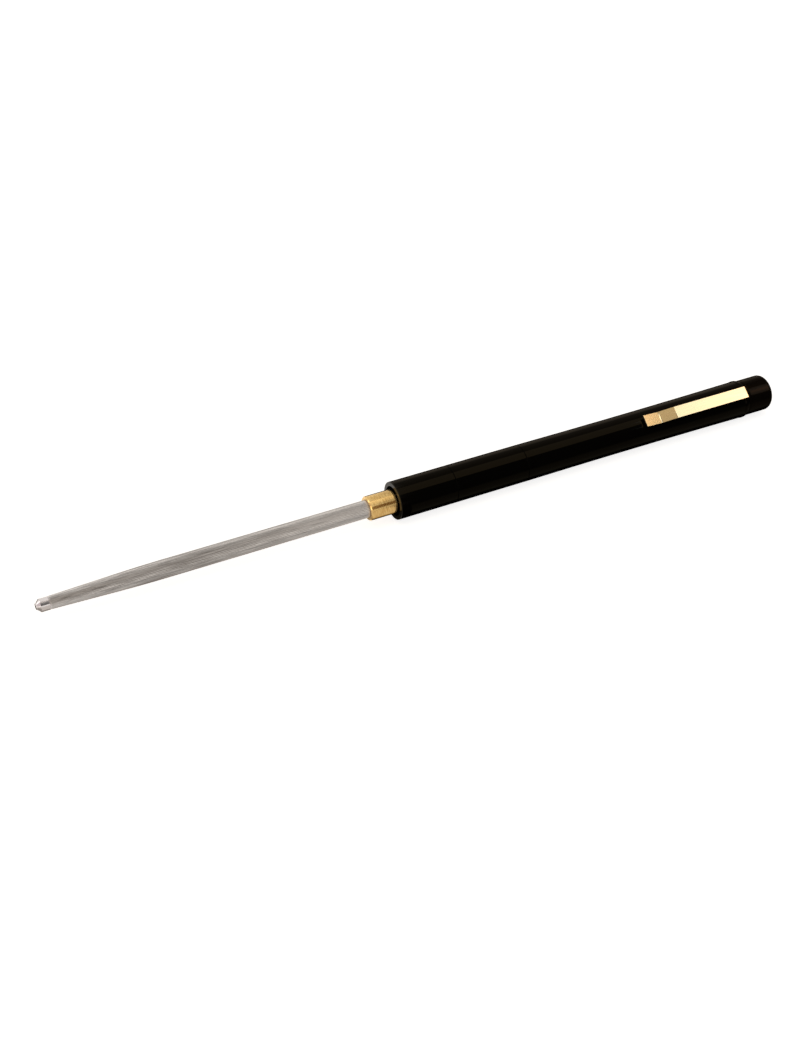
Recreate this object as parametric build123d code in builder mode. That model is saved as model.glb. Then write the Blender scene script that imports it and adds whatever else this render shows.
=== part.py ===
from build123d import *
import os

from math import cos, pi, radians, sin

os.makedirs("parts", exist_ok=True)

# Pocket honing steel that telescopes like a pen: a fluted steel rod in a brass slide collar runs
# in and out of a black tubular handle with a folded spring clip. Millimetres.
# The origin is the centre of the handle's mouth, +X runs along the axis to the end plug, the rod
# points to -X, and the handle lies along the ground with +Z up.

# Handle tubes
barrel_r = 5.0
bore_r = 3.8
barrel_len = 109.4
waist_x = 60.0
waist_relief = 0.08
shoulder_rise = 0.2
bead_rise = 0.1
bead_len = 1.3
seam_chamfer = 0.12

# Nose sleeve and its guide bore
nose_len = 16.3
mouth_r = 3.95
mouth_depth = 1.8
mouth_round = 0.9
guide_len = 6.0
guide_fit = 0.05

# Laps where one tube screws into the next
lower_len = 21.2
lap_r = 4.4
lap_len = 6.0
lap_fit = 0.02
lap_end_gap = 0.15

# Fluted steel rod
rod_r = 2.3
fluted_len = 82.9
taper_len = 27.2
run_in_len = 10.7
run_in_drop = 0.17
taper_drop = 0.7
flute_count = 40
flute_depth = 0.13
tip_r = 1.64
tip_land_len = 2.0
tip_chamfer = 0.8
button_len = 0.25
button_round = 0.2
tang_r = 2.0
tang_end_gap = 0.5

# Brass slide collar with its stop flange
collar_r = 3.19
collar_reach = 7.5
collar_chamfer = 0.25
rod_seat_depth = 1.0
rod_seat_fit = 0.06
tang_fit = 0.02
stop_gap = 0.05
flange_len = 5.1
flange_fit = 0.08
flange_chamfer = 0.2
groove_inset = 1.8
groove_len = 1.0
groove_r = 3.0

# Square-cut rubber friction ring in the flange's groove
ring_seat_gap = 0.03
ring_side_gap = 0.05
ring_bore_gap = 0.05

# End plug
plug_r = 5.0
plug_len = 8.3
plug_lead_len = 0.8
plug_lead_drop = 0.08
plug_end_round = 1.2
spigot_r = 4.2
spigot_len = 5.5
spigot_fit = 0.03

# Pocket clip, folded from gilt spring sheet
clip_t = 0.4
clip_w = 3.3
clip_roll = 50.5
clip_top_bend_r = 0.4
clip_heel_bend_r = 1.0
clip_lip_bend_r = 2.2
clip_ring_r = 4.5
clip_ring_fit = 0.05
clip_top_gap = 0.06
clip_panel_len = 25.0
clip_panel_rise = 0.2
clip_slope_len = 4.9
clip_rest_gap = 0.04
clip_lip_len = 5.2
clip_lip_rise = 0.75

# Places and radii worked out from the sizes
seam1_x = nose_len
seam2_x = seam1_x + lower_len
guide_end_x = mouth_depth + guide_len
guide_r = collar_r + guide_fit
rod_seat_x = rod_seat_depth - collar_reach
stop_x = guide_end_x + stop_gap
collar_rear_x = stop_x + flange_len
flange_r = bore_r - flange_fit
taper_end_x = rod_seat_x - fluted_len
taper_start_x = taper_end_x + taper_len
run_in_end_x = taper_start_x - run_in_len
land_end_x = taper_end_x - tip_land_len
shoulder_r = barrel_r + shoulder_rise
bead_r = shoulder_r + bead_rise
plug_x = barrel_len + clip_t


def corner(section, x, r):
    """The corner of a half section that lies nearest to x along the axis and r from it."""
    return section.vertices().sort_by_distance((x, r))[0]


def lap_front(x):
    """Half section of a screwed lap that reaches forward from the seam at x."""
    tip = x - lap_len + lap_end_gap
    return [(x, lap_r - lap_fit), (tip, lap_r - lap_fit), (tip, bore_r)]


def lap_socket(x, socket_r, depth):
    """Half section of the socket behind the seam at x that takes the next piece's lap."""
    return [(x, socket_r), (x - depth, socket_r), (x - depth, bore_r)]


# Nose sleeve: rounded mouth, guide bore for the collar, socket for the lower tube
with BuildPart() as nose_sleeve:
    with BuildSketch(Plane.XZ) as section:
        with BuildLine():
            Polyline(
                (0, mouth_r),
                (0, barrel_r),
                (seam1_x, barrel_r),
                *lap_socket(seam1_x, lap_r, lap_len),
                (guide_end_x, bore_r),
                (guide_end_x, guide_r),
                (mouth_depth, guide_r),
                (mouth_depth, mouth_r),
                close=True,
            )
        make_face()
        fillet(corner(section, 0, barrel_r), mouth_round)
        chamfer(corner(section, seam1_x, barrel_r), seam_chamfer)
    revolve(axis=Axis.X)
nose_sleeve.part.label = "nose_sleeve"
export_step(nose_sleeve.part, "parts/nose_sleeve.step")

# Lower tube: plain turned length between the two seams
with BuildPart() as lower_barrel:
    with BuildSketch(Plane.XZ) as section:
        with BuildLine():
            Polyline(
                *reversed(lap_front(seam1_x)),
                (seam1_x, barrel_r),
                (seam2_x, barrel_r),
                *lap_socket(seam2_x, lap_r, lap_len),
                close=True,
            )
        make_face()
        chamfer(corner(section, seam1_x, barrel_r), seam_chamfer)
        chamfer(corner(section, seam2_x, barrel_r), seam_chamfer)
    revolve(axis=Axis.X)
lower_barrel.part.label = "lower_barrel"
export_step(lower_barrel.part, "parts/lower_barrel.step")

# Upper tube: a long shallow waist that swells to a rolled bead at the clip
with BuildPart() as upper_barrel:
    bead_x = barrel_len - bead_len
    with BuildSketch(Plane.XZ) as section:
        with BuildLine():
            ThreePointArc(
                (seam2_x, barrel_r),
                (waist_x, barrel_r - waist_relief),
                (bead_x, shoulder_r),
            )
            ThreePointArc(
                (bead_x, shoulder_r),
                (bead_x + bead_len / 2, bead_r),
                (barrel_len, shoulder_r),
            )
            Polyline(
                (barrel_len, shoulder_r),
                *lap_socket(barrel_len, spigot_r, spigot_len),
                *reversed(lap_front(seam2_x)),
                (seam2_x, barrel_r),
            )
        make_face()
        chamfer(corner(section, seam2_x, barrel_r), seam_chamfer)
    revolve(axis=Axis.X)
upper_barrel.part.label = "upper_barrel"
export_step(upper_barrel.part, "parts/upper_barrel.step")

# End plug: cap with a crowned front edge, a well rounded end and a spigot inside the upper tube
with BuildPart() as end_plug:
    end_x = plug_x + plug_len
    lead_end_x = plug_x + plug_lead_len
    spigot_x = barrel_len - spigot_len
    spigot_outer = spigot_r - spigot_fit
    with BuildSketch(Plane.XZ) as section:
        with BuildLine():
            Polyline(
                (lead_end_x, plug_r),
                (end_x, plug_r),
                (end_x, 0),
                (spigot_x, 0),
                (spigot_x, spigot_outer),
                (plug_x, spigot_outer),
                (plug_x, plug_r - plug_lead_drop),
            )
            TangentArc((lead_end_x, plug_r), (plug_x, plug_r - plug_lead_drop), tangent=(-1, 0))
        make_face()
        fillet(corner(section, end_x, plug_r), plug_end_round)
    revolve(axis=Axis.X)
end_plug.part.label = "end_plug"
export_step(end_plug.part, "parts/end_plug.step")

# Slide collar: turned brass with a seat for the rod and a stop flange behind the guide bore
with BuildPart() as slide_collar:
    groove_x = stop_x + groove_inset
    with BuildSketch(Plane.XZ) as section:
        with BuildLine():
            Polyline(
                (-collar_reach, rod_r + rod_seat_fit),
                (-collar_reach, collar_r),
                (stop_x, collar_r),
                (stop_x, flange_r),
                (groove_x, flange_r),
                (groove_x, groove_r),
                (groove_x + groove_len, groove_r),
                (groove_x + groove_len, flange_r),
                (collar_rear_x, flange_r),
                (collar_rear_x, tang_r + tang_fit),
                (rod_seat_x, tang_r + tang_fit),
                (rod_seat_x, rod_r + rod_seat_fit),
                close=True,
            )
        make_face()
        chamfer(corner(section, -collar_reach, collar_r), collar_chamfer)
        chamfer(corner(section, collar_rear_x, flange_r), flange_chamfer)
    revolve(axis=Axis.X)
slide_collar.part.label = "slide_collar"
export_step(slide_collar.part, "parts/slide_collar.step")

# Friction ring: drags on the bore so that the rod stays where it is pushed
with BuildPart() as friction_ring:
    ring_x = stop_x + groove_inset + groove_len / 2
    ring_inner_r = groove_r + ring_seat_gap
    ring_outer_r = bore_r - ring_bore_gap
    with BuildSketch(Plane.XZ):
        with Locations((ring_x, (ring_inner_r + ring_outer_r) / 2)):
            Rectangle(groove_len - 2 * ring_side_gap, ring_outer_r - ring_inner_r)
    revolve(axis=Axis.X)
friction_ring.part.label = "friction_ring"
export_step(friction_ring.part, "parts/friction_ring.step")


def fluted_section(x, crest_r):
    """A ring of V flutes between sharp crests, drawn across the rod at x."""
    points = []
    for step in range(2 * flute_count):
        radius = crest_r if step % 2 == 0 else crest_r - flute_depth
        angle = pi * step / flute_count
        points.append((radius * cos(angle), radius * sin(angle)))
    with BuildSketch(Plane.YZ.offset(x)) as section:
        with BuildLine():
            Polyline(*points, close=True)
        make_face()
    return section.sketch


# Steel rod: fluted length with a long taper, polished tip with a button end, and a plain tang
with BuildPart() as steel_rod:
    run_in_mid_x = (taper_start_x + run_in_end_x) / 2
    button_r = tip_r - tip_chamfer
    button_x = land_end_x - tip_chamfer
    round_x = button_x - button_len + button_round
    stations = [
        (rod_seat_x, rod_r),
        (taper_start_x, rod_r),
        (run_in_mid_x, rod_r - run_in_drop / 4),
        (run_in_end_x, rod_r - run_in_drop),
        (taper_end_x, rod_r - taper_drop),
    ]
    loft(sections=[fluted_section(x, r) for x, r in stations], ruled=True)
    with BuildSketch(Plane.YZ.offset(rod_seat_x)):
        Circle(tang_r)
    extrude(amount=collar_rear_x - tang_end_gap - rod_seat_x)
    with BuildSketch(Plane.XZ):
        with BuildLine():
            Polyline(
                (taper_end_x, 0),
                (taper_end_x, tip_r),
                (land_end_x, tip_r),
                (button_x, button_r),
                (round_x, button_r),
            )
            TangentArc(
                (round_x, button_r),
                (round_x - button_round, button_r - button_round),
                tangent=(-1, 0),
            )
            Polyline(
                (round_x - button_round, button_r - button_round),
                (round_x - button_round, 0),
                (taper_end_x, 0),
            )
        make_face()
    revolve(axis=Axis.X)
steel_rod.part.label = "steel_rod"
export_step(steel_rod.part, "parts/steel_rod.step")

# Pocket clip: one strip folded up through the seam, over the bead and down to the tube, with
# a clamped ring at its root and a turned-up lip
with BuildPart() as pocket_clip:
    roll = radians(clip_roll)
    side = Plane(origin=(0, 0, 0), x_dir=(1, 0, 0), z_dir=(0, -sin(roll), -cos(roll)))
    ring_x = barrel_len + clip_t / 2
    ring_hole_r = spigot_r - spigot_fit + clip_ring_fit
    top_h = bead_r + clip_top_gap + clip_t / 2
    rest_h = barrel_r + clip_rest_gap + clip_t / 2
    crease2_x = ring_x - clip_panel_len
    crease1_x = crease2_x - clip_slope_len
    with BuildLine(side) as folds:
        FilletPolyline(
            (ring_x, (clip_ring_r + ring_hole_r) / 2),
            (ring_x, top_h),
            (crease2_x, top_h + clip_panel_rise),
            (crease1_x, rest_h),
            (crease1_x - clip_lip_len, rest_h + clip_lip_rise),
            radius=(clip_top_bend_r, clip_heel_bend_r, clip_lip_bend_r),
        )
    with BuildSketch(Plane(folds.line @ 0, z_dir=folds.line % 0, x_dir=(1, 0, 0))):
        Rectangle(clip_t, clip_w)
    sweep()
    with BuildSketch(Plane.YZ.offset(barrel_len)):
        Circle(clip_ring_r)
        Circle(ring_hole_r, mode=Mode.SUBTRACT)
    extrude(amount=clip_t)
pocket_clip.part.label = "pocket_clip"
export_step(pocket_clip.part, "parts/pocket_clip.step")
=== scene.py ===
import math

import bmesh
import bpy
from mathutils import Matrix, Quaternion, Vector


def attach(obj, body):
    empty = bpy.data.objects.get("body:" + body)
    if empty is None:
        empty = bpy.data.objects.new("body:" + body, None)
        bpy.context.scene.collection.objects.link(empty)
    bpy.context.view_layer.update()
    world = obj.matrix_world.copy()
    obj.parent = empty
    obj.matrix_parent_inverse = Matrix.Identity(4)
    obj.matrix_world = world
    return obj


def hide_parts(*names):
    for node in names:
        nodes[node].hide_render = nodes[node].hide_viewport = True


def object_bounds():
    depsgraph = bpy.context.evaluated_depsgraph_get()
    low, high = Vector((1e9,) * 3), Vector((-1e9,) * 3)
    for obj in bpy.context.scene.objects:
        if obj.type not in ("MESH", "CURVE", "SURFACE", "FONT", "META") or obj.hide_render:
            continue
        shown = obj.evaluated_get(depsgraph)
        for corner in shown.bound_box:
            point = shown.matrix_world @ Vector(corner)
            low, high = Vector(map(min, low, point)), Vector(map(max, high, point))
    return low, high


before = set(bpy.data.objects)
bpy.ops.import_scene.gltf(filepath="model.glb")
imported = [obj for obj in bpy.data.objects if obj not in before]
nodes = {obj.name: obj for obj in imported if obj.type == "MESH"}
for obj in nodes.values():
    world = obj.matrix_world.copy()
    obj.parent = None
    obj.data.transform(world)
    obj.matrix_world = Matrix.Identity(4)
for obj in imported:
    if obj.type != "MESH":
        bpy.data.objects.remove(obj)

cadLow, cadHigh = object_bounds()

mm = 0.001  # the frame is in metres, sizes below are in millimetres
samePlace = 0.001 * mm  # corners closer than this are one and the same
roundProfile = 0.5  # the bevel's own value for a round
noiseSpan = (0.3, 0.7)  # nearly all values of a noise texture lie between these
print("frame loaded, box in mm:", [round(v / mm, 2) for v in (*cadLow, *cadHigh)])


# helpers

def toLinear(hexColour):
    # sRGB hex such as "c8a060" to the linear values that a shader takes, alpha full
    channels = [int(hexColour[i:i + 2], 16) / 255 for i in (0, 2, 4)]
    flat = [c / 12.92 if c <= 0.04045 else ((c + 0.055) / 1.055) ** 2.4 for c in channels]
    return (*flat, 1.0)


def addNode(tree, kind, settings=None, links=None):
    # settings: attribute, input socket or "stops" of a two-colour ramp to value,
    # links: input socket to an output
    node = tree.nodes.new("ShaderNode" + kind)
    for key, value in (settings or {}).items():
        if key == "stops":
            for element, (position, hexColour) in zip(node.color_ramp.elements, value):
                element.position = position
                element.color = toLinear(hexColour)
        elif isinstance(key, str) and hasattr(node, key) and key not in node.inputs:
            setattr(node, key, value)
        else:
            node.inputs[key].default_value = value
    for key, output in (links or {}).items():
        tree.links.new(output, node.inputs[key])
    return node


def newMaterial(name):
    material = bpy.data.materials.new(name)
    material.use_nodes = True
    material.node_tree.nodes.clear()
    return material, material.node_tree


def drawnGrain(tree, place, alongMm, acrossMm, detail, roughness):
    # uneven shades left by working the metal, in patches alongMm by acrossMm
    along, across = 1 / (alongMm * mm), 1 / (acrossMm * mm)
    stretch = addNode(
        tree, "Mapping", {"Scale": (along, across, across)}, {"Vector": place.outputs["Object"]},
    )
    grain = addNode(
        tree, "TexNoise", {"Scale": 1.0, "Detail": detail, "Roughness": roughness},
        {"Vector": stretch.outputs["Vector"]},
    )
    return grain.outputs["Fac"]


def unevenSkin(tree, place, sizeMm, depthMm, strength, detail):
    # normals of a skin with soft bumps, sizeMm wide and up to depthMm deep
    uneven = addNode(
        tree, "TexNoise", {"Scale": 1 / (sizeMm * mm), "Detail": detail},
        {"Vector": place.outputs["Object"]},
    )
    bump = addNode(
        tree, "Bump", {"Strength": strength, "Distance": depthMm * mm},
        {"Height": uneven.outputs["Fac"]},
    )
    return bump.outputs["Normal"]


def seenDirectly(tree):
    # 1 for camera, glossy and transmission rays, 0 for the rays that only gather light
    ray = addNode(tree, "LightPath")
    seen = ray.outputs["Is Camera Ray"]
    for kind in ("Is Glossy Ray", "Is Transmission Ray"):
        seen = addNode(
            tree, "Math", {"operation": "MAXIMUM"}, {0: seen, 1: ray.outputs[kind]},
        ).outputs["Value"]
    return seen


# camera

cameraPlan = {
    "placeMm": (-137.02, -267.91, 209.70),
    "azimuthDeg": -27.424,
    "elevationDeg": 35.627,
    "lensMm": 50.0,
    "sensorMm": 36.0,  # spans the long side of the 800 x 1040 picture
    "clipM": (0.01, 50.0),
}


def makeCamera(plan):
    data = bpy.data.cameras.new("studioCamera")
    data.lens = plan["lensMm"]
    data.sensor_width = plan["sensorMm"]
    data.clip_start, data.clip_end = plan["clipM"]
    camera = bpy.data.objects.new("studioCamera", data)
    camera.location = [v * mm for v in plan["placeMm"]]
    camera.rotation_euler = (
        math.radians(90 - plan["elevationDeg"]),
        0.0,
        math.radians(plan["azimuthDeg"]),
    )
    bpy.context.scene.collection.objects.link(camera)
    bpy.context.scene.camera = camera


makeCamera(cameraPlan)
print("camera placed")

# materials

lacquerPlan = {
    "base": "070605",
    "roughness": 0.055,
    "ior": 1.5,
    "specular": 0.19,
    "tint": "f0dcb8",
    "rippleMm": 2.5,
    "rippleDepthMm": 0.002,
    "rippleStrength": 0.35,
    "seamsMm": (16.3, 37.5),
    "seamReachMm": 0.13,
    "seamSpecular": 0.02,
    "seamRoughness": 0.5,
}


def glossBlackLacquer(plan):
    # Black lacquer sprayed on metal tube and polished: deep black with sharp, slightly wavy
    # reflections, and dull only where polish and grime stay in the seams
    material, tree = newMaterial("glossBlackLacquer")
    place = addNode(tree, "TexCoord")
    skin = unevenSkin(
        tree, place, plan["rippleMm"], plan["rippleDepthMm"], plan["rippleStrength"], detail=2.0,
    )
    along = addNode(tree, "SeparateXYZ", links={"Vector": place.outputs["Object"]})
    # 1 within reach of each seam, 0 elsewhere
    inSeam = [
        addNode(
            tree, "Math", {"operation": "COMPARE", 1: seamMm * mm, 2: plan["seamReachMm"] * mm},
            {0: along.outputs["X"]},
        ).outputs["Value"]
        for seamMm in plan["seamsMm"]
    ]
    grime = addNode(tree, "Math", {"operation": "MAXIMUM"}, {0: inSeam[0], 1: inSeam[1]})
    specular = addNode(
        tree, "MapRange", {"To Min": plan["specular"], "To Max": plan["seamSpecular"]},
        {"Value": grime.outputs["Value"]},
    )
    roughness = addNode(
        tree, "MapRange", {"To Min": plan["roughness"], "To Max": plan["seamRoughness"]},
        {"Value": grime.outputs["Value"]},
    )
    shader = addNode(
        tree, "BsdfPrincipled",
        {
            "Base Color": toLinear(plan["base"]),
            "IOR": plan["ior"],
            "Specular Tint": toLinear(plan["tint"]),
        },
        {
            "Roughness": roughness.outputs["Result"],
            "Specular IOR Level": specular.outputs["Result"],
            "Normal": skin,
        },
    )
    addNode(tree, "OutputMaterial", links={"Surface": shader.outputs["BSDF"]})
    return material


plugPlan = {
    "base": "0d0906",
    "roughness": 0.17,
    "ior": 1.5,
    "specular": 0.1,
    "tint": "f4c08a",
    "speckMm": 0.35,  # a real moulded skin is finer, which would not show
    "speckDepthMm": 0.003,
    "speckStrength": 0.3,
}


def mouldedBlackPlastic(plan):
    # End plug moulded in black plastic: brownish black, with a duller, softer gloss than lacquer
    material, tree = newMaterial("mouldedBlackPlastic")
    place = addNode(tree, "TexCoord")
    skin = unevenSkin(
        tree, place, plan["speckMm"], plan["speckDepthMm"], plan["speckStrength"], detail=3.0,
    )
    shader = addNode(
        tree, "BsdfPrincipled",
        {
            "Base Color": toLinear(plan["base"]),
            "Roughness": plan["roughness"],
            "IOR": plan["ior"],
            "Specular IOR Level": plan["specular"],
            "Specular Tint": toLinear(plan["tint"]),
        },
        {"Normal": skin},
    )
    addNode(tree, "OutputMaterial", links={"Surface": shader.outputs["BSDF"]})
    return material


steelPlan = {
    "light": "cac4be",
    "dark": "766f69",
    "polished": "d8d0cc",
    "roughness": 0.4,
    "polishedRoughness": 0.1,
    "streakLengthMm": 9.0,
    "streakWidthMm": 0.16,  # the real ones are some hundredths wide, too fine to show
    "tipStartMm": -89.4,
    "tipBlendMm": 0.5,
    # from where to where the steel gets lighter, and by how much: towards the collar this is
    # painted light, standing in for lamp light that falls off there, and towards the tip it is
    # simply lighter
    "lighterSpansMm": [(-50, -8, 0.24), (-60, -86, 0.09)],
}


def drawnFlutedSteel(plan):
    # Hardened steel, its flutes drawn lengthwise and its tip polished: grey with fine lengthwise
    # streaks, and mirror bright at the tip
    material, tree = newMaterial("drawnFlutedSteel")
    place = addNode(tree, "TexCoord")
    along = addNode(tree, "SeparateXYZ", links={"Vector": place.outputs["Object"]})
    lightness = drawnGrain(
        tree, place, plan["streakLengthMm"], plan["streakWidthMm"], detail=3.0, roughness=0.6,
    )
    # each span adds lightness along the rod; the one towards the collar is painted light
    for fromMm, toMm, shift in plan["lighterSpansMm"]:
        span = addNode(
            tree, "MapRange",
            {"From Min": fromMm * mm, "From Max": toMm * mm, "To Min": 0.0, "To Max": shift},
            {"Value": along.outputs["X"]},
        )
        lightness = addNode(
            tree, "Math", {"operation": "ADD"}, {0: lightness, 1: span.outputs["Result"]},
        ).outputs["Value"]
    tone = addNode(
        tree, "ValToRGB", {"stops": zip(noiseSpan, (plan["dark"], plan["light"]))},
        {"Fac": lightness},
    )
    tip = addNode(
        tree, "MapRange",
        {
            "From Min": plan["tipStartMm"] * mm,
            "From Max": (plan["tipStartMm"] + plan["tipBlendMm"]) * mm,
            "To Min": 1.0,
            "To Max": 0.0,
        },
        {"Value": along.outputs["X"]},
    )
    # inputs 6 and 7 and output 2 are Mix's colours
    colour = addNode(
        tree, "Mix", {"data_type": "RGBA", 7: toLinear(plan["polished"])},
        {0: tip.outputs["Result"], 6: tone.outputs["Color"]},
    )
    roughness = addNode(
        tree, "MapRange",
        {"To Min": plan["roughness"], "To Max": plan["polishedRoughness"]},
        {"Value": tip.outputs["Result"]},
    )
    shader = addNode(
        tree, "BsdfPrincipled", {"Metallic": 1.0},
        {"Base Color": colour.outputs[2], "Roughness": roughness.outputs["Result"]},
    )
    addNode(tree, "OutputMaterial", links={"Surface": shader.outputs["BSDF"]})
    return material


brassPlan = {
    "light": "f6cf88",
    "dark": "cfa35e",
    "roughness": 0.14,
    "markPitchMm": 0.2,  # real tool marks are four times finer, which would not show
    "markLengthMm": 1.4,
    "markDepthMm": 0.0035,
    "markStrength": 0.6,
}


def turnedBrass(plan):
    # Brass turned on a lathe and left bright: warm gold with short fine tool marks round the axis
    material, tree = newMaterial("turnedBrass")
    place = addNode(tree, "TexCoord")
    marks = drawnGrain(
        tree, place, plan["markPitchMm"], plan["markLengthMm"], detail=2.0, roughness=0.6,
    )
    tone = addNode(
        tree, "ValToRGB", {"stops": zip(noiseSpan, (plan["dark"], plan["light"]))}, {"Fac": marks},
    )
    bump = addNode(
        tree, "Bump", {"Strength": plan["markStrength"], "Distance": plan["markDepthMm"] * mm},
        {"Height": marks},
    )
    shader = addNode(
        tree, "BsdfPrincipled", {"Metallic": 1.0, "Roughness": plan["roughness"]},
        {"Base Color": tone.outputs["Color"], "Normal": bump.outputs["Normal"]},
    )
    addNode(tree, "OutputMaterial", links={"Surface": shader.outputs["BSDF"]})
    return material


giltPlan = {
    "light": "fce1ae",
    "dark": "f8d9a4",
    "roughness": 0.15,
    "grainLengthMm": 6.0,
    "grainWidthMm": 0.3,  # rolled grain is finer, which would not show
}


def giltSpringSheet(plan):
    # Rolled spring sheet, gold plated and polished: pale gold with a faint rolled grain
    material, tree = newMaterial("giltSpringSheet")
    place = addNode(tree, "TexCoord")
    grain = drawnGrain(
        tree, place, plan["grainLengthMm"], plan["grainWidthMm"], detail=2.0, roughness=0.5,
    )
    tone = addNode(
        tree, "ValToRGB", {"stops": zip(noiseSpan, (plan["dark"], plan["light"]))}, {"Fac": grain},
    )
    shader = addNode(
        tree, "BsdfPrincipled", {"Metallic": 1.0, "Roughness": plan["roughness"]},
        {"Base Color": tone.outputs["Color"]},
    )
    addNode(tree, "OutputMaterial", links={"Surface": shader.outputs["BSDF"]})
    return material


rubberPlan = {
    "base": "191817",
    "roughness": 0.6,
    "speckMm": 0.2,  # coarser than real moulded rubber's, which would not show
    "speckDepthMm": 0.01,
    "speckStrength": 0.2,
}


def mouldedRubber(plan):
    # Moulded nitrile rubber: matt, near black, with a faint speckle
    material, tree = newMaterial("mouldedRubber")
    place = addNode(tree, "TexCoord")
    skin = unevenSkin(
        tree, place, plan["speckMm"], plan["speckDepthMm"], plan["speckStrength"], detail=2.0,
    )
    shader = addNode(
        tree, "BsdfPrincipled",
        {"Base Color": toLinear(plan["base"]), "Roughness": plan["roughness"]},
        {"Normal": skin},
    )
    addNode(tree, "OutputMaterial", links={"Surface": shader.outputs["BSDF"]})
    return material


lacquer = glossBlackLacquer(lacquerPlan)
finishes = {
    "steel_rod": drawnFlutedSteel(steelPlan),
    "slide_collar": turnedBrass(brassPlan),
    "friction_ring": mouldedRubber(rubberPlan),
    "nose_sleeve": lacquer,
    "lower_barrel": lacquer,
    "upper_barrel": lacquer,
    "end_plug": mouldedBlackPlastic(plugPlan),
    "pocket_clip": giltSpringSheet(giltPlan),
}
for name, material in finishes.items():
    for materialSlot in nodes[name].material_slots:
        materialSlot.material = material
print("materials on", len(finishes), "nodes")

# pieces that the frame lacks or has plainer

mouthRimPlan = {
    "frontMm": -0.03,
    "rearMm": 1.0,
    "boreMm": 3.955,
    "outerMm": 5.004,
    "lipMm": (0.4, 3.965),  # where its bore ends, along and out
    "skirtMm": 0.3,  # wall at its rear end, hidden in the sleeve
    "edgeMm": 0.14,  # broken edge, which catches a thin line of light
    "edgeSteps": 3,
    "besideMm": 0.03,  # loops this close by the broken edge keep its curve off the flats
    "steps": 96,
    "sharpDeg": 32,
}


def spinProfile(shape, profileMm, steps):
    # a closed profile of (along, out) points, turned once round the handle's axis
    loop = [shape.verts.new((along * mm, 0, out * mm)) for along, out in profileMm]
    edges = [shape.edges.new((loop[i - 1], loop[i])) for i in range(len(loop))]
    bmesh.ops.spin(
        shape, geom=edges, cent=(0, 0, 0), axis=(1, 0, 0), angle=2 * math.pi, steps=steps,
        use_merge=True,
    )
    bmesh.ops.recalc_face_normals(shape, faces=shape.faces)


def sharpenFolds(shape, degrees):
    # smooth all over, but for the edges that turn by more than this
    for face in shape.faces:
        face.smooth = True
    for edge in shape.edges:
        edge.smooth = edge.calc_face_angle(0) < math.radians(degrees)


def finishPiece(name, shape, material):
    mesh = bpy.data.meshes.new(name)
    shape.to_mesh(mesh)
    shape.free()
    mesh.materials.append(material)
    piece = bpy.data.objects.new(name, mesh)
    bpy.context.scene.collection.objects.link(piece)
    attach(piece, "handle")
    return piece


def keepFlat(piece):
    # flat faces stay flat to the eye beside the small bevels
    flat = piece.modifiers.new("flat", "WEIGHTED_NORMAL")
    flat.keep_sharp = True


def makeMouthRim(plan):
    # square-cut end of the nose sleeve, closing the round of the frame's sleeve
    shape = bmesh.new()
    front, rear, bore, outer = (plan[key] for key in ("frontMm", "rearMm", "boreMm", "outerMm"))
    beside = plan["edgeMm"] + plan["besideMm"]
    spinProfile(
        shape,
        [
            (front, bore), (front, outer - beside), (front, outer), (front + beside, outer),
            (rear, outer), (rear, outer - plan["skirtMm"]), plan["lipMm"],
        ],
        plan["steps"],
    )
    rim = [
        edge for edge in shape.edges
        if all(
            abs(v.co.x - front * mm) < samePlace and abs(v.co.yz.length - outer * mm) < samePlace
            for v in edge.verts
        )
    ]
    bmesh.ops.bevel(
        shape, geom=rim, offset=plan["edgeMm"] * mm, affect="EDGES", segments=plan["edgeSteps"],
        profile=roundProfile, material=-1,
    )
    sharpenFolds(shape, plan["sharpDeg"])
    keepFlat(finishPiece("mouthRim", shape, lacquer))


clipPlan = {
    "thickMm": 0.4,
    "wideMm": 3.3,
    "tiltDeg": 39.5,  # from straight up towards the front
    # along and out, from the root to the tip
    "foldsMm": [(109.6, 4.36), (109.6, 5.56), (84.6, 5.76), (79.7, 5.24), (74.5, 5.99)],
    "bendsMm": [0.9, 1.0, 2.2],  # radius of each bend between them
    "bendSteps": 8,
    "edgeMm": 0.05,
    "edgeSteps": 2,
    "sharpDeg": 50,
    "ringMm": (4.22, 4.5),
    "ringSteps": 64,
    "ringSharpDeg": 32,
}


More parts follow.
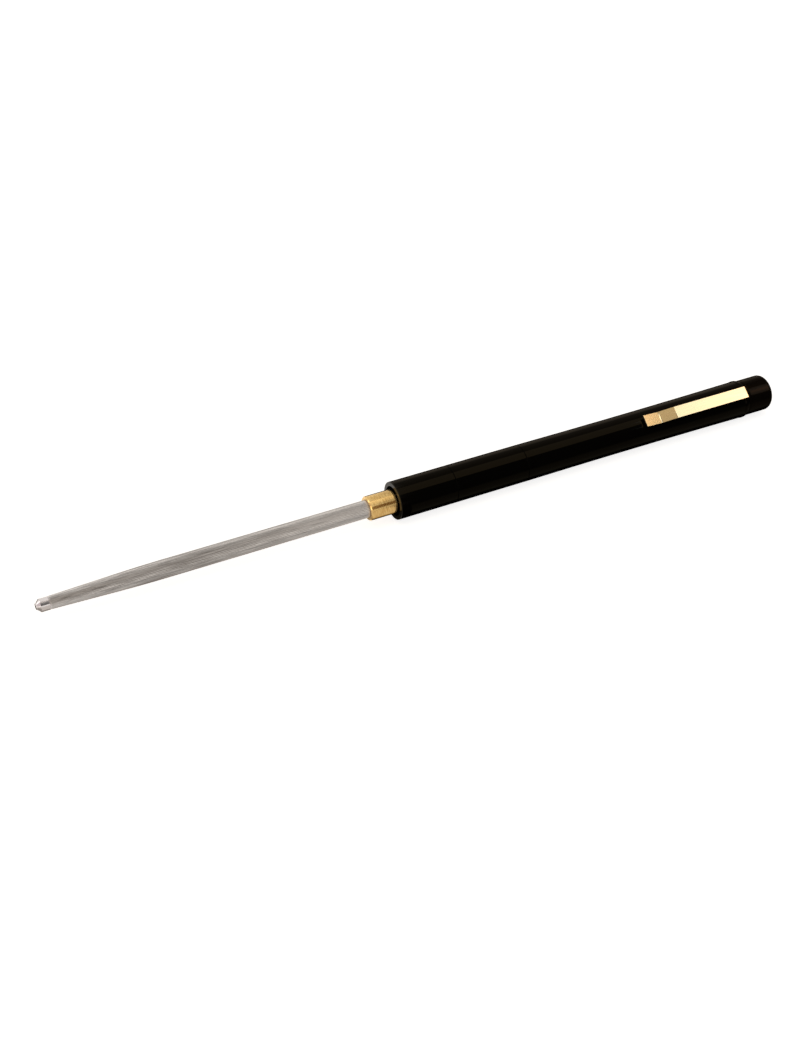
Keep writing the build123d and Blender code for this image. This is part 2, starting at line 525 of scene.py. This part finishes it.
def makePocketClip(plan):
    # one strip of spring sheet, drawn with sharp folds that are then rounded, its edges broken by
    # rumbling before it was plated
    shape = bmesh.new()
    half = plan["wideMm"] / 2 * mm
    near = [shape.verts.new((along * mm, -half, out * mm)) for along, out in plan["foldsMm"]]
    nearSide = [shape.edges.new(pair) for pair in zip(near, near[1:])]
    grown = bmesh.ops.extrude_edge_only(shape, edges=nearSide)["geom"]
    far = [part for part in grown if isinstance(part, bmesh.types.BMVert)]
    bmesh.ops.translate(shape, verts=far, vec=(0, 2 * half, 0))
    for (along, out), bend in zip(plan["foldsMm"][1:-1], plan["bendsMm"]):
        fold = [
            edge for edge in shape.edges
            if all(
                abs(v.co.x - along * mm) < samePlace and abs(v.co.z - out * mm) < samePlace
                for v in edge.verts
            )
        ]
        bmesh.ops.bevel(
            shape, geom=fold, offset=bend * mm * math.tan(fold[0].calc_face_angle() / 2),
            affect="EDGES", segments=plan["bendSteps"], profile=roundProfile, material=-1,
        )
    bmesh.ops.recalc_face_normals(shape, faces=shape.faces)
    for face in shape.faces:
        face.smooth = True
    turn = Matrix.Rotation(math.radians(plan["tiltDeg"]), 3, "X")
    bmesh.ops.rotate(shape, verts=shape.verts, cent=(0, 0, 0), matrix=turn)
    clip = finishPiece("pocketClipSheet", shape, finishes["pocket_clip"])
    sheet = clip.modifiers.new("sheet", "SOLIDIFY")
    sheet.thickness = plan["thickMm"] * mm
    sheet.offset = 0.0
    sheet.use_even_offset = True
    edge = clip.modifiers.new("edge", "BEVEL")
    edge.width = plan["edgeMm"] * mm
    edge.segments = plan["edgeSteps"]
    edge.limit_method = "ANGLE"
    edge.angle_limit = math.radians(plan["sharpDeg"])
    keepFlat(clip)
    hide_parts("pocket_clip")

    # its clamped root, seen only as a line in the seam
    inner, outer = plan["ringMm"]
    middle = plan["foldsMm"][0][0]
    low, high = middle - plan["thickMm"] / 2, middle + plan["thickMm"] / 2
    ring = bmesh.new()
    spinProfile(ring, [(low, inner), (low, outer), (high, outer), (high, inner)], plan["ringSteps"])
    sharpenFolds(ring, plan["ringSharpDeg"])
    root = finishPiece("pocketClipRoot", ring, finishes["pocket_clip"])
    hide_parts("pocket_clip")


makeMouthRim(mouthRimPlan)
makePocketClip(clipPlan)
print("mouth rim and pocket clip made")

# floor, world and lamps

floorPlan = {"sizeM": 8.0, "gapMm": 0.02, "colour": "d9d7d4", "roughness": 0.9, "glow": 0.84}


def makeFloor(plan):
    mesh = bpy.data.meshes.new("paleFloor")
    shape = bmesh.new()
    bmesh.ops.create_grid(shape, x_segments=1, y_segments=1, size=plan["sizeM"] / 2)
    bmesh.ops.translate(
        shape, verts=shape.verts, vec=Vector((0, 0, cadLow.z - plan["gapMm"] * mm)),
    )
    shape.to_mesh(mesh)
    shape.free()
    floor = bpy.data.objects.new("paleFloor", mesh)
    bpy.context.scene.collection.objects.link(floor)
    material, tree = newMaterial("paleFloorPaint")
    glow = addNode(
        tree, "Math", {"operation": "MULTIPLY", 1: plan["glow"]}, {0: seenDirectly(tree)},
    )
    shader = addNode(
        tree, "BsdfPrincipled",
        {
            "Base Color": toLinear(plan["colour"]),
            "Roughness": plan["roughness"],
            "Emission Color": toLinear("ffffff"),
        },
        {"Emission Strength": glow.outputs["Value"]},
    )
    addNode(tree, "OutputMaterial", links={"Surface": shader.outputs["BSDF"]})
    mesh.materials.append(material)


worldPlan = {"room": "a09689", "backdrop": "ffffff"}


def makeWorld(plan):
    # the camera and every mirror see the white backdrop, the rest is lit by even room light
    world = bpy.data.worlds.new("studioRoom")
    bpy.context.scene.world = world
    world.use_nodes = True
    tree = world.node_tree
    tree.nodes.clear()
    room = addNode(tree, "Background", {"Color": toLinear(plan["room"])})
    backdrop = addNode(tree, "Background", {"Color": toLinear(plan["backdrop"])})
    mix = addNode(
        tree, "MixShader",
        links={0: seenDirectly(tree), 1: room.outputs[0], 2: backdrop.outputs[0]},
    )
    addNode(tree, "OutputWorld", links={"Surface": mix.outputs[0]})


lampPlans = {
    "clipSoftbox": {
        "placeMm": (333, -172, 272),
        "aimMm": (97, 0, 0),
        "sizeMm": (90, 250),
        "rollDeg": -43,
        "colour": "cfe5ff",
        "level": 1.14,
    },
    "overheadSoftbox": {
        "placeMm": (-35, -150, 700),
        "aimMm": (0, 0, 0),
        "sizeMm": (560, 420),
        "rollDeg": 0,
        "colour": "ffffff",
        "level": 0.75,
    },
}


def makeLamp(name, plan):
    # level is the lamp's radiance: 1 looks white in a mirror
    data = bpy.data.lights.new(name, "AREA")
    data.shape = "RECTANGLE"
    data.size, data.size_y = (v * mm for v in plan["sizeMm"])
    data.color = toLinear(plan["colour"])[:3]
    data.energy = math.pi * data.size * data.size_y * plan["level"]
    lamp = bpy.data.objects.new(name, data)
    place = Vector(plan["placeMm"]) * mm
    aim = Vector(plan["aimMm"]) * mm
    lamp.location = place
    roll = Quaternion((0, 0, 1), math.radians(plan["rollDeg"]))
    lamp.rotation_euler = ((aim - place).to_track_quat("-Z", "Y") @ roll).to_euler()
    lamp.visible_camera = False
    bpy.context.scene.collection.objects.link(lamp)


# studio cards, which only the gloss sees, as a photographer hangs them round black lacquer;
# corners run round the card, and heights count from the object's lowest point
cardPlans = {
    "cardOnFloor": {
        "cornersMm": [
            (1, -5, 0.3), (2.7, -10.2, 0.3), (6.7, -21.5, 0.3), (236, -600, 0.3),
            (1100, -600, 0.3), (1100, 450, 0.3), (1, 450, 0.3),
        ],
        "colour": "050505",
    },
    "cardUnderBarrel": {
        "cornersMm": [(10, -22, 0.35), (900, -22, 0.35), (900, -5.5, 0.35), (4, -5.5, 0.35)],
        "colour": "5c584c",
    },
    "cardUnderRod": {
        "cornersMm": [
            (-120, -600, 0.3), (236, -600, 0.3), (6.7, -21.5, 0.3), (2.7, -10.2, 0.3),
            (1, -5, 0.3), (1, -3.5, 0.3), (-120, -3.5, 0.3),
        ],
        "colour": "dedad6",
    },
    "cardBelowRod": {
        "cornersMm": [(-120, -3.5, 0.3), (-8, -3.5, 0.3), (-8, 4, 0.3), (-120, 4, 0.3)],
        "colour": "a8a49f",
    },
    "cardUnderCollar": {
        "cornersMm": [(-8, -3.5, 0.3), (1, -3.5, 0.3), (1, -2.4, 0.3), (-8, -2.4, 0.3)],
        "colour": "b4a682",
    },
    "cardUnderMouth": {
        "cornersMm": [(-6.5, -2.4, 0.3), (1, -2.4, 0.3), (1, 7, 0.3), (-6.5, 7, 0.3)],
        "colour": "444038",
    },
    "cardStanding": {
        "cornersMm": [
            (238, -600, 0), (1100, -600, 0), (1100, -600, 998), (466, -600, 998),
            (389, -600, 768), (338, -600, 600), (303, -600, 469), (275, -600, 346),
            (253, -600, 218), (243, -600, 128),
        ],
        "colour": "050505",
    },
    "cardByCollar": {
        "cornersMm": [
            (200, -600, 140), (244, -600, 140), (253, -600, 218), (275, -600, 346),
            (303, -600, 469), (312, -600, 500), (262, -600, 500), (254, -600, 469),
            (229, -600, 346), (209, -600, 218),
        ],
        "colour": "84601c",
    },
    "cardByTip": {
        "cornersMm": [
            (-27, -600, 230), (17, -600, 230), (33, -600, 469), (70, -600, 866),
            (96, -600, 1082), (48, -600, 1082), (24, -600, 866), (-14, -600, 469),
        ],
        "colour": "1a1816",
    },
    "cardOverTip": {
        "cornersMm": [(-24, -345, 620), (20, -345, 620), (15, -200, 620), (-29, -200, 620)],
        "colour": "2a2826",
    },
    "cardOverTipBack": {
        "cornersMm": [(-29, -200, 620), (15, -200, 620), (10, 30, 620), (-34, 30, 620)],
        "colour": "c8c2be",
    },
    "cardBehindTip": {
        "cornersMm": [(-260, 2, 0.3), (-92.8, 2, 0.3), (-92.8, 60, 0.3), (-260, 60, 0.3)],
        "colour": "4a433c",
    },
    "cardBehindLow": {
        "cornersMm": [
            (177, 450, 0), (1200, 450, 0), (1200, 450, 250), (204, 450, 250), (182, 450, 112),
        ],
        "colour": "94897a",
    },
    "cardBehindHigh": {
        "cornersMm": [
            (204, 450, 250), (1200, 450, 250), (1200, 450, 700), (332, 450, 700),
            (252, 450, 450),
        ],
        "colour": "6e675d",
    },
    "cardOverhead": {
        "cornersMm": [
            (324, -420, 700), (700, -420, 700), (700, -120, 700), (605, -60, 700),
            (605, 130, 700), (280, 130, 700), (278, 0, 700), (291, -214, 700),
        ],
        "colour": "b8ae9a",
    },
    "cardOverheadBack": {
        "cornersMm": [(280, 130, 700), (700, 130, 700), (700, 450, 700), (332, 450, 700)],
        "colour": "6a645a",
    },
    "cardOverheadDark": {
        "cornersMm": [
            (605, -60, 700), (700, -120, 700), (700, -250, 700), (870, -250, 700),
            (870, 450, 700), (605, 450, 700),
        ],
        "colour": "14110e",
    },
    "cardOverPlug": {
        "cornersMm": [
            (764, -598, 699), (712, -481, 699), (690, -385, 699), (720, -250, 699),
            (870, -250, 699), (870, -598, 699),
        ],
        "colour": "fcd4b0",
        "glow": 2.3,
    },
    "cardByPlug": {
        "cornersMm": [
            (640, -598, 420), (652, -598, 477), (714, -598, 605), (764, -598, 698),
            (900, -598, 698), (900, -598, 420),
        ],
        "colour": "e6dccc",
    },
    "cardOverRight": {
        "cornersMm": [(870, -600, 700), (1090, -600, 700), (1090, 450, 700), (870, 450, 700)],
        "colour": "c6c0ae",
    },
    "cardRight": {
        "cornersMm": [(1100, -600, 0), (1100, 450, 0), (1100, 450, 700), (1100, -600, 700)],
        "colour": "0a0a0a",
    },
    "cardLeft": {
        "cornersMm": [(-700, -600, 0), (-700, 450, 0), (-700, 450, 700), (-700, -600, 700)],
        "colour": "ffffff",
        "glow": 2.1,
    },
    "cardLeftLow": {
        "cornersMm": [(-699, -150, 0), (-699, 260, 0), (-699, 260, 420), (-699, -150, 420)],
        "colour": "e6dee2",
    },
}


def makeCard(name, plan):
    corners = [Vector(corner) * mm + Vector((0, 0, cadLow.z)) for corner in plan["cornersMm"]]
    mesh = bpy.data.meshes.new(name)
    shape = bmesh.new()
    shape.faces.new([shape.verts.new(corner) for corner in corners])
    shape.to_mesh(mesh)
    shape.free()
    card = bpy.data.objects.new(name, mesh)
    bpy.context.scene.collection.objects.link(card)
    material, tree = newMaterial(name + "Paper")
    glow = addNode(
        tree, "Emission", {"Color": toLinear(plan["colour"]), "Strength": plan.get("glow", 1.0)},
    )
    addNode(tree, "OutputMaterial", links={"Surface": glow.outputs["Emission"]})
    mesh.materials.append(material)
    for kind in ("camera", "diffuse", "transmission", "volume_scatter", "shadow"):
        setattr(card, "visible_" + kind, False)


makeFloor(floorPlan)
makeWorld(worldPlan)
for name, plan in lampPlans.items():
    makeLamp(name, plan)
for name, plan in cardPlans.items():
    makeCard(name, plan)
print("floor, world,", len(lampPlans), "lamps and", len(cardPlans), "cards made")

bpy.context.scene.view_settings.view_transform = "Standard"
